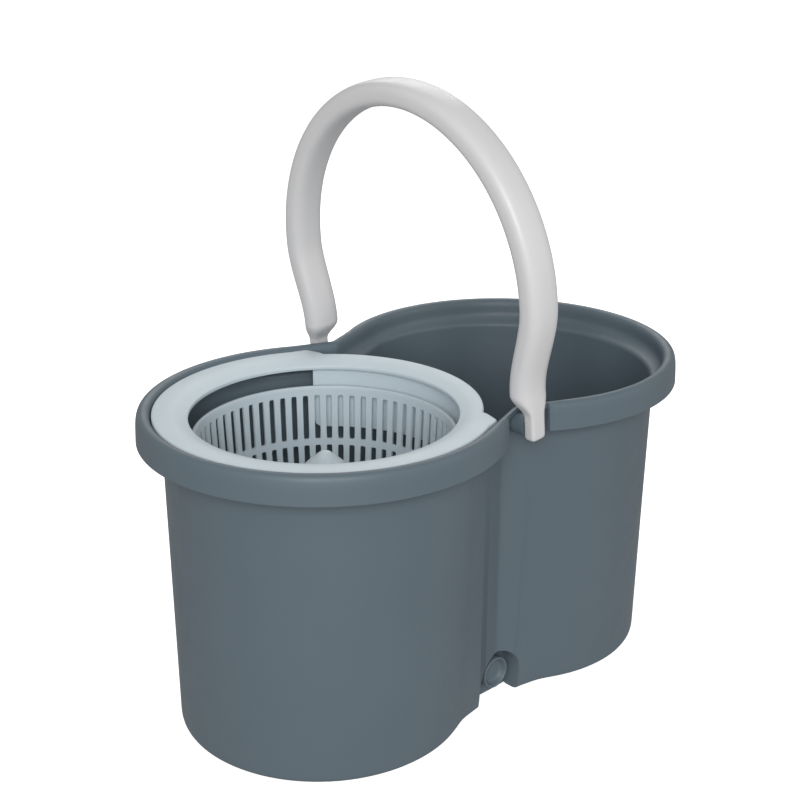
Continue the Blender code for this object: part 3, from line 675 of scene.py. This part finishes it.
# ---- collar ---------------------------------------------------------------------------------
@dataclass
class Collar:
    """Shallow funnel ring over the basket lobe, with pointed tabs and a skirt on the open side."""

    centre_x: float
    inner: float = 0.0998
    inner_z: float = 0.2455
    outer_z: float = 0.2504
    lip_z: float = 0.2383
    lobe: float = 0.1264
    span: float = 0.1174
    step: float = 0.1215
    tab: float = 0.1290
    thickness: float = 2.2 * MM
    skirt_radius: float = 0.1045
    skirt_half_angle: float = 54.8
    skirt_bottom: float = 0.1915
    skirt_corner: float = 8.0 * MM

    def edge(self, degrees: Array) -> Array:
        """Outer radius, in straight pieces between the tab's corners.

        Args:
            degrees: angles from +X.

        Returns:
            A radius for each angle.
        """
        corners = [0.0, 50.0, 51.6, 56.2, 62.0, 180.0]
        radii = [self.span, self.span, self.step, self.tab, self.lobe, self.lobe]
        return np.interp(np.abs(degrees), corners, radii)

    def ring_points(self) -> Array:
        """Grid of the ring: a soft convex funnel with a downturned lip, in a section at each angle.

        Returns:
            A grid with one ring for each point of the section.
        """
        degrees = np.concatenate([np.linspace(-62.0, 62.0, 249), np.linspace(63.5, 296.5, 156)])
        degrees = (degrees + 180.0) % 360.0 - 180.0
        edge = self.edge(degrees)
        inner = np.full_like(edge, self.inner)
        middle = np.full_like(edge, (self.inner + self.span) / 2.0)
        t = self.thickness
        crown = 0.2494

        def column(radius: Array, height: float) -> Array:
            """One corner of the section at every angle."""
            return np.stack([radius, np.full_like(radius, height)], axis=-1)

        section = np.stack([
            column(edge - t / 2, self.lip_z), column(edge, self.lip_z), column(edge, self.outer_z - 0.0002),
            column(middle + 6 * MM, self.outer_z), column(middle, crown),
            column(inner + 3 * MM, self.inner_z + 0.0013), column(inner, self.inner_z - 0.0002),
            column(inner + 0.0004, self.inner_z - 0.0032), column(inner + 0.0022, self.inner_z - 0.0030),
            column(inner + 4 * MM, self.inner_z + 0.0014 - t), column(middle, crown - t),
            column(edge - t, self.outer_z - t), column(edge - t, self.lip_z),
            column(edge - t / 2, self.lip_z)])
        trims = np.array([0.5, 1.6, 3.0, 8.0, 3.0, 1.0, 0.6, 0.6, 2.0, 6.0, 1.0, 0.5]) * MM
        section = round_corners(section, trims, steps=4)
        angle = np.radians(degrees)
        radius, height = section[..., 0], section[..., 1]
        return np.stack([self.centre_x + radius * np.cos(angle), radius * np.sin(angle), height], axis=-1)

    def skirt(self) -> bpy.types.Mesh:
        """Curved sheet under the ring whose two lower corners are rounded.

        Returns:
            The closed mesh.
        """
        limit = self.skirt_half_angle
        degrees = np.linspace(-limit, limit, 121)
        inset = (limit - np.abs(degrees)) * math.radians(1.0) * self.skirt_radius
        reach = np.clip(1.0 - inset / self.skirt_corner, 0.0, 1.0)
        bottom = self.skirt_bottom + self.skirt_corner * (1.0 - np.sqrt(1.0 - reach ** 2))
        top = np.full_like(bottom, 0.2464)
        low, high = self.skirt_radius, self.skirt_radius + self.thickness
        radius = np.array([low, low, (low + high) / 2, high, high, (low + high) / 2])
        height = np.stack([top, bottom + 0.6 * MM, bottom, bottom + 0.6 * MM, top, top], axis=1)
        angle = np.radians(degrees)[:, None]
        points = np.stack([self.centre_x + radius * np.cos(angle), radius * np.sin(angle), height], axis=-1)
        return mesh_from_grid("skirt", points)

    def build(self, material: bpy.types.Material) -> bpy.types.Object:
        """Make the collar with its skirt.

        Args:
            material: its plastic.

        Returns:
            The finished piece.
        """
        piece = add_piece("collar_moulding", mesh_from_grid("collar_moulding", self.ring_points()))
        apply_steps(piece, [(Step.JOIN, [self.skirt()])])
        smooth(piece)
        dress(piece, material, "bucket", ("splash_collar",))
        return piece


# ---- basket ---------------------------------------------------------------------------------
@dataclass
class Basket:
    """Turned basket with a rolled rim and rows of slots, its hub tube and its cone cap."""

    centre_x: float
    rim_z: float
    floor: float = 0.1440
    rim_radius: float = 0.0987
    wall: float = 2.0 * MM
    slots: int = 64
    floor_slots: int = 16
    slot_width: float = 4.5 * MM
    slot_sides: int = 16
    upper: tuple[float, float] = (0.1855, 0.2225)
    lower: tuple[float, float] = (0.1560, 0.1805)
    hub_bottom: float = 0.1354
    hub_top: float = 0.1800
    cone_apex: float = 0.2136
    cone_foot: float = 0.0330

    def profile(self) -> Array:
        """Closed section of the basket, from the rim's middle down the outside and back up inside.

        Returns:
            Array of (radius, height).
        """
        rim, floor, wall = self.rim_z, self.floor, self.wall
        corners = np.array([
            (self.rim_radius - 0.0012, rim), (self.rim_radius, rim), (self.rim_radius, rim - 0.0045),
            (0.0978, rim - 0.0056), (0.0968, 0.2050), (0.0958, 0.1830), (0.0925, 0.1530),
            (0.0870, floor), (0.0112, floor), (0.0112, self.hub_bottom), (0.0071, self.hub_bottom),
            (0.0071, self.hub_top), (0.0092, self.hub_top), (0.0098, floor + wall),
            (0.0856, floor + wall), (0.0905, 0.1540), (0.0938, 0.1830), (0.0950, 0.2050),
            (0.0960, rim - 0.0020), (0.0966, rim), (self.rim_radius - 0.0012, rim)])
        trims = MM * np.array([1.0, 0.8, 0.8, 8, 8, 8, 4, 0.6, 0.3, 0.3, 0.3, 0.3, 1.5, 4, 8, 8, 8, 1.0,
                               0.6])
        return round_corners(corners, trims, steps=4)

    def slot_block(self, spot: float, radius: float, depth: float, size: tuple[float, float],
                   low: float) -> Array:
        """Round-cornered block along a radius that opens one slot.

        Args:
            spot: the slot's angle, in radians.
            radius: how far out the block's middle is.
            depth: how far it reaches from there, inwards and outwards.
            size: the slot's width and height.
            low: height of its lower end.

        Returns:
            A grid of two outlines.
        """
        width, height = size
        sides = self.slot_sides
        x, z = superellipse(sides, np.array([width]), np.array([height]), np.array([9.0]))
        reach = np.array([radius - depth, radius + depth])[:, None]
        across = np.broadcast_to(x, (2, sides))
        cosine, sine = math.cos(spot), math.sin(spot)
        return np.stack([self.centre_x + reach * cosine - across * sine, reach * sine + across * cosine,
                         np.broadcast_to(low + height / 2 + z, (2, sides))], axis=-1)

    def slot_cutter(self) -> bpy.types.Mesh:
        """Mesh of all the slots of both rows, evenly round the wall, and the floor's slots.

        Returns:
            One mesh of closed blocks.
        """
        blocks = []
        for low, high in (self.upper, self.lower):
            for i in range(self.slots):
                spot = math.tau * (i + 0.5) / self.slots
                blocks.append(self.slot_block(spot, 0.0950, 7.0 * MM, (self.slot_width, high - low), low))
        for i in range(self.floor_slots):
            spot = math.tau * (i + 0.5) / self.floor_slots
            blocks.append(self.slot_block(spot, 0.0600, 18.0 * MM, (4.0 * MM, 0.014), self.floor - 0.006))
        points = np.stack(blocks)
        sides = self.slot_sides
        walls = grid_faces(2, sides).tolist()
        block = walls + [list(range(sides - 1, -1, -1)), list(range(sides, 2 * sides))]
        all_faces = [[2 * sides * i + corner for corner in face]
                     for i in range(len(blocks)) for face in block]
        mesh = bpy.data.meshes.new("slots")
        mesh.from_pydata(points.reshape(-1, 3).tolist(), [], all_faces)
        seal(mesh)
        return mesh

    def build(self, material: bpy.types.Material) -> bpy.types.Object:
        """Make the slotted basket.

        Args:
            material: its plastic.

        Returns:
            The finished piece.
        """
        points = revolve(self.profile(), (self.centre_x, 0.0), self.slots * 4)
        piece = add_piece("basket_moulding", mesh_from_grid("basket_moulding", points))
        apply_steps(piece, [(Step.CUT, [self.slot_cutter()])])
        smooth(piece)
        dress(piece, material, "basket", ("spin_basket",))
        return piece

    def build_cone(self, material: bpy.types.Material) -> bpy.types.Object:
        """Make the bell-shaped cap over the hub, hollow inside.

        Args:
            material: its plastic.

        Returns:
            The finished piece.
        """
        top, foot = self.cone_apex, self.floor + self.wall + 0.3 * MM
        corners = np.array([
            (0.0, top), (0.0035, top - 0.0002), (0.0090, top - 0.0052), (0.0150, top - 0.0102),
            (0.0215, top - 0.0190), (0.0270, top - 0.0330), (self.cone_foot, foot + 0.004),
            (self.cone_foot, foot), (self.cone_foot - 0.0022, foot), (0.0248, top - 0.0335),
            (0.0190, top - 0.0200), (0.0120, top - 0.0115), (0.0050, top - 0.0065),
            (0.0, top - 0.0058)])
        trims = np.array([3, 4, 4, 5, 6, 3, 0.6, 0.6, 6, 5, 4, 3]) * MM
        points = revolve(round_corners(corners, trims, steps=5), (self.centre_x, 0.0), 96)
        piece = add_piece("cone_moulding", mesh_from_grid("cone_moulding", points))
        smooth(piece)
        dress(piece, material, "basket", ("hub_cone",))
        return piece


# ---- handle ---------------------------------------------------------------------------------
@dataclass
class Handle:
    """Bail handle: a broad rounded bow that narrows to an ear at each end."""

    pivot_z: float
    lean: float = 5.0
    width: float = 0.0290
    thickness: float = 0.0195
    leg_y: float = 0.1150
    bow_y: float = 0.1280
    foot_z: float = 0.2350
    straight: float = 0.0340
    shoulder: float = 0.1000
    rise: float = 0.1360
    ear_width: float = 0.0140
    ear_inner: float = 0.1160
    ear_outer: float = 0.1255
    ear_tip: float = 0.2325
    ear_top: float = 0.2505
    leg_start: float = 0.2680
    sides: int = 48

    def centreline(self) -> tuple[Array, Array]:
        """Near half of the line that the sections follow.

        The leg is straight, eases outwards to the shoulder, and goes over in half an ellipse.

        Returns:
            The Y and the Z of each point.
        """
        heights = np.concatenate([
            np.array([0.0, 0.0006, 0.0016, 0.0030, 0.0060, 0.0100, 0.0145]) + self.ear_tip,
            np.linspace(self.ear_top, self.leg_start, 17), np.linspace(self.leg_start, 0.3350, 36)[1:-1]])
        lift = heights - self.foot_z
        y = self.leg_y + (self.bow_y - self.leg_y) * ease(lift, self.straight, self.shoulder)
        turn = np.linspace(0.0, math.pi / 2.0, 49)
        y = np.concatenate([y, self.bow_y * np.cos(turn)])
        z = np.concatenate([heights, self.foot_z + self.shoulder + self.rise * np.sin(turn)])
        return -y, z

    def points(self) -> Array:
        """Grid of sections across the line, from the near ear's tip to the far one's, leaned over.

        Returns:
            A grid with one ring for each point of the line.
        """
        y, z = self.centreline()
        grow = ease(z, self.ear_top, self.leg_start)
        tip = np.sqrt(np.clip(1.0 - (1.0 - (z - self.ear_tip) / (3.0 * MM)).clip(0.0, 1.0) ** 2, 0.0, 1.0))
        tip = 0.80 + 0.20 * tip
        ear_thickness = self.ear_outer - self.ear_inner
        width = (self.ear_width + (self.width - self.ear_width) * grow) * tip
        thickness = (ear_thickness + (self.thickness - ear_thickness) * grow) * tip
        power = 5.0 - 2.5 * grow + 0.4 * ease(z, self.leg_start, 0.3200)
        ear_y = -(self.ear_inner + self.ear_outer) / 2.0
        y = ear_y + (y - ear_y) * grow
        y, z = np.concatenate([y, -y[-2::-1]]), np.concatenate([z, z[-2::-1]])
        width, thickness, power = (np.concatenate([a, a[-2::-1]]) for a in (width, thickness, power))
        dy, dz = np.gradient(y), np.gradient(z)
        steep = np.concatenate([grow, grow[-2::-1]]) < 1.0
        dy = np.where(steep, 0.0, dy)
        dz = np.where(steep, np.sign(dz), dz)
        length = np.hypot(dy, dz)
        inward_y, inward_z = dz / length, -dy / length
        across, through = superellipse(self.sides, width, thickness, power)
        sideways = y[:, None] + inward_y[:, None] * through
        above = z[:, None] + inward_z[:, None] * through - self.pivot_z
        tilt = math.radians(self.lean)
        return np.stack([across * math.cos(tilt) - above * math.sin(tilt), sideways,
                         self.pivot_z + across * math.sin(tilt) + above * math.cos(tilt)], axis=-1)

    def build(self, material: bpy.types.Material) -> bpy.types.Object:
        """Make the handle with a stud on the inner face of each ear.

        Args:
            material: its plastic.

        Returns:
            The finished piece.
        """
        piece = add_piece("handle_moulding", mesh_from_grid("handle_moulding", self.points()))
        studs = [rod(STUD_RADIUS, (0.0, side.value * STUD_END_Y, self.pivot_z),
                     (0.0, side.value * (self.ear_inner + 3.0 * MM), self.pivot_z)) for side in Side]
        apply_steps(piece, [(Step.JOIN, studs)])
        smooth(piece, 40.0)
        dress(piece, material, "handle", ("handle_bow",))
        return piece


# ---- drain plug -----------------------------------------------------------------------------
@dataclass
class DrainPlug:
    """Push-in plug with a dished face inside a thin rim."""

    face_y: float
    centre_z: float
    seat_y: float = -0.0786
    radius: float = 0.0130
    dish: float = 5.5 * MM
    stem: float = 8.5 * MM
    stem_end_y: float = -0.0690

    def build(self, material: bpy.types.Material) -> bpy.types.Object:
        """Make the plug: its section goes round a level axis that points at -Y.

        Args:
            material: its plastic.

        Returns:
            The finished piece.
        """
        face = self.seat_y - self.face_y
        end = self.seat_y - self.stem_end_y
        radius = self.radius
        corners = np.array([
            (0.0, face - self.dish), (radius - 0.0040, face - self.dish + 0.0004),
            (radius - 0.0019, face - 0.0004), (radius - 0.0009, face + 0.0001), (radius, face - 0.0006),
            (radius, 0.0), (self.stem, 0.0), (self.stem, end + 0.0015), (self.stem - 0.0012, end),
            (0.0, end)])
        trims = np.array([2.0, 0.6, 0.8, 0.8, 0.3, 0.3, 0.5, 0.5]) * MM
        turned = revolve(round_corners(corners, trims, steps=4), (0.0, 0.0), 72)
        points = np.stack([turned[..., 0], self.seat_y - turned[..., 2],
                           self.centre_z + turned[..., 1]], axis=-1)
        piece = add_piece("plug_moulding", mesh_from_grid("plug_moulding", points))
        smooth(piece)
        dress(piece, material, "plug", ("drain_plug",))
        return piece


# ---- studio ---------------------------------------------------------------------------------
@dataclass
class Studio:
    """Pale floor and backdrop, soft lights and the camera."""

    eye: tuple[float, float, float] = (-0.7600, -0.7919, 0.6416)
    gaze: tuple[float, float, float] = (0.6387, 0.6844, -0.3518)
    lens: float = 67.36
    ambient: float = 0.44
    floor_reach: float = 6.0
    floor_glow: float = 0.70
    aim_z: float = 0.15

    def camera(self) -> None:
        """Level camera that looks along the gaze."""
        camera = bpy.data.objects.new("camera", bpy.data.cameras.new("camera"))
        camera.data.lens = self.lens
        camera.data.sensor_width = 36.0
        camera.data.clip_start = 0.01
        camera.location = self.eye
        camera.rotation_euler = Vector(self.gaze).to_track_quat('-Z', 'Y').to_euler()
        bpy.context.scene.collection.objects.link(camera)
        bpy.context.scene.camera = camera

    def floor(self) -> None:
        """Wide white floor that glows a little and throws no light back on the object."""
        reach = self.floor_reach
        corners = [(-reach, -reach, 0.0), (reach, -reach, 0.0), (reach, reach, 0.0), (-reach, reach, 0.0)]
        mesh = bpy.data.meshes.new("floor")
        mesh.from_pydata(corners, [], [[0, 1, 2, 3]])
        floor = add_piece("floor", mesh)
        material = bpy.data.materials.new("floor_white")
        material.use_nodes = True
        shader = material.node_tree.nodes["Principled BSDF"]
        shader.inputs["Base Color"].default_value = (0.93, 0.93, 0.93, 1.0)
        shader.inputs["Roughness"].default_value = 0.9
        shader.inputs["Emission Color"].default_value = (1.0, 1.0, 1.0, 1.0)
        shader.inputs["Emission Strength"].default_value = self.floor_glow
        mesh.materials.append(material)
        floor.visible_diffuse = False
        floor.visible_glossy = False

    def surroundings(self) -> None:
        """Even light from all round, in front of a backdrop as pale as the floor."""
        world = bpy.data.worlds.new("studio")
        world.use_nodes = True
        nodes, links = world.node_tree.nodes, world.node_tree.links
        even = nodes["Background"]
        even.inputs["Strength"].default_value = self.ambient
        pale = nodes.new("ShaderNodeBackground")
        pale.inputs["Strength"].default_value = 1.0
        for light in (even, pale):
            light.inputs["Color"].default_value = (1.0, 1.0, 1.0, 1.0)
        rays = nodes.new("ShaderNodeLightPath")
        choice = nodes.new("ShaderNodeMixShader")
        links.new(rays.outputs["Is Camera Ray"], choice.inputs[0])
        links.new(even.outputs[0], choice.inputs[1])
        links.new(pale.outputs[0], choice.inputs[2])
        links.new(choice.outputs[0], nodes["World Output"].inputs["Surface"])
        bpy.context.scene.world = world

    def lamp(self, name: str, place: tuple[float, float, float], size: float, power: float,
             shine: float = 1.0) -> None:
        """Square soft box that faces the middle of the object.

        Args:
            name: the lamp's name.
            place: where it hangs.
            size: the length of its side.
            power: watts.
            shine: how strong its highlights are, against its other light.
        """
        data = bpy.data.lights.new(name, 'AREA')
        data.size = size
        data.energy = power
        data.specular_factor = shine
        lamp = bpy.data.objects.new(name, data)
        lamp.location = place
        aim = Vector((0.0, 0.0, self.aim_z)) - Vector(place)
        lamp.rotation_euler = aim.to_track_quat('-Z', 'Y').to_euler()
        bpy.context.scene.collection.objects.link(lamp)

    def build(self) -> None:
        """Set the stage."""
        self.camera()
        self.floor()
        self.surroundings()
        self.lamp("key", (-1.36, -1.42, 1.10), 1.0, 29.0)
        self.lamp("back", (1.20, 1.30, 1.50), 1.2, 12.0, shine=0.2)
        self.lamp("fill", (1.30, -1.90, 0.90), 1.2, 5.0)
        bpy.context.scene.view_settings.view_transform = 'Standard'


def dress_carried(frame: dict) -> None:
    """Give the CAD nodes that stay in view their finishes.
    """
    finishes = {
        "spindle_column": GREY_INNER, "column_screw_1": ZINC, "column_screw_2": ZINC,
        "column_screw_3": ZINC, "column_screw_4": ZINC, "spindle_pin": STAINLESS,
        "thrust_washer": STAINLESS, "pin_clip": STAINLESS, "lower_bush": NYLON, "upper_bush": NYLON,
        "drain_seal": RUBBER}
    made: dict[str, bpy.types.Material] = {}
    for node, finish in finishes.items():
        if finish.name not in made:
            made[finish.name] = finish.material()
        mesh = frame["nodes"][node].data
        mesh.materials.clear()
        mesh.materials.append(made[finish.name])
        LOG.info("%s: finished in %s", node, finish.name)


def main() -> None:
    """Build the studio and every piece, in order."""
    logging.basicConfig(level=logging.INFO, format="%(message)s")
    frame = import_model()
    Studio().build()

    joints = {joint["name"]: joint for joint in frame["joints"]}
    pivot_z = joints["handle_swing"]["pos_m"][2]
    axis_x = joints["basket_spin"]["pos_m"][0]
    _, shell_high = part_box("bucket_shell")
    _, basket_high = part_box("spin_basket")
    plug_low, plug_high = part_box("drain_plug")

    grey, white, handle_white = GREY.material(), WHITE.material(), HANDLE_WHITE.material()
    # The basket's material is the collar's white with painted shade in its colour.
    basket_white_painted_shade = BASKET_WHITE_PAINTED_SHADE.material()
    Bucket(height=shell_high.z, lobe_x=-axis_x, pivot_z=pivot_z).build(grey)
    Collar(centre_x=axis_x).build(white)
    basket = Basket(centre_x=axis_x, rim_z=basket_high.z)
    basket.build(basket_white_painted_shade)
    basket.build_cone(white)
    Handle(pivot_z=pivot_z).build(handle_white)
    DrainPlug(face_y=plug_low.y, centre_z=(plug_low.z + plug_high.z) / 2.0).build(grey)
    dress_carried(frame)


if __name__ == "__main__":
    main()
